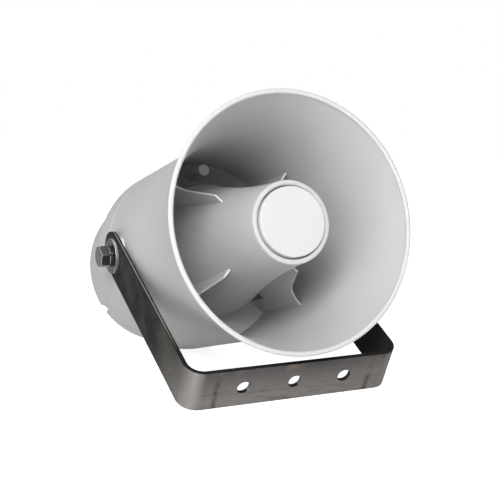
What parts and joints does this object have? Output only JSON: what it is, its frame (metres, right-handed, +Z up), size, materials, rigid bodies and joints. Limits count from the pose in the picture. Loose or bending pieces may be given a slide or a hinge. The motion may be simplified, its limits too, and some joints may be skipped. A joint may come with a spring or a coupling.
{
  "type": "horn loudspeaker",
  "caption": "Reflex horn loudspeaker with a flared round bell, an inner flare with a capped nose and S-edged fins, and a tilting strap bracket.",
  "frame": {"origin": "centre of the bounding box's underside, on the surface the speaker rests on", "axes": "+Z up, +X along the pivot axis, and the mouth faces -Y and points up by 13.5 degrees"},
  "size_m": [0.2078, 0.3293, 0.2383],
  "materials": {
    "grey_abs": "satin",
    "white_abs": "satin",
    "painted_strap": "satin black-grey stove enamel",
    "dark_steel": "dark zinc",
    "zinc_steel": "bright zinc",
    "brass": "machined",
    "black_rubber": "matt",
    "fibre": "matt",
    "die_cast": "cast",
    "mild_steel": "machined",
    "ferrite": "matt",
    "titanium": "satin",
    "copper": "enamelled wire",
    "lamination": "varnished",
    "nylon_black": "satin",
    "nylon_white": "satin"
  },
  "bodies": {
    "strap": {"bracket": "painted_strap"},
    "horn": {"bell": "grey_abs", "inner_flare": "grey_abs", "nose_cap": "white_abs", "rear_cover": "grey_abs", "throat_tube": "grey_abs", "driver_gasket": "black_rubber", "driver_front": "die_cast", "phase_plug": "nylon_black", "diaphragm": "titanium", "surround": "black_rubber", "voice_coil": "copper", "top_plate": "mild_steel", "magnet": "ferrite", "yoke": "mild_steel", "driver_screws": "zinc_steel", "plate_screws": "zinc_steel", "cover_gasket": "black_rubber", "cover_screws": "zinc_steel", "transformer_core": "lamination", "transformer_bobbin": "nylon_white", "transformer_winding": "copper", "transformer_frame": "zinc_steel", "transformer_screws": "zinc_steel", "terminal_block": "nylon_white", "terminal_screws": "zinc_steel", "gland_body": "nylon_black", "gland_seal": "black_rubber", "gland_nut": "nylon_black", "gland_locknut": "nylon_black", "left_insert": "brass", "left_friction_washer": "fibre", "left_washer": "zinc_steel", "left_spring_washer": "dark_steel", "left_bolt": "dark_steel", "right_insert": "brass", "right_friction_washer": "fibre", "right_washer": "zinc_steel", "right_spring_washer": "dark_steel", "right_bolt": "dark_steel"}
  },
  "joints": [
    {"name": "tilt", "type": "hinge", "parent": "strap", "child": "horn", "pos_m": [0, 0.02066, 0.10053], "axis": [1, 0, 0], "range_deg": [-278, 2]}
  ]
}
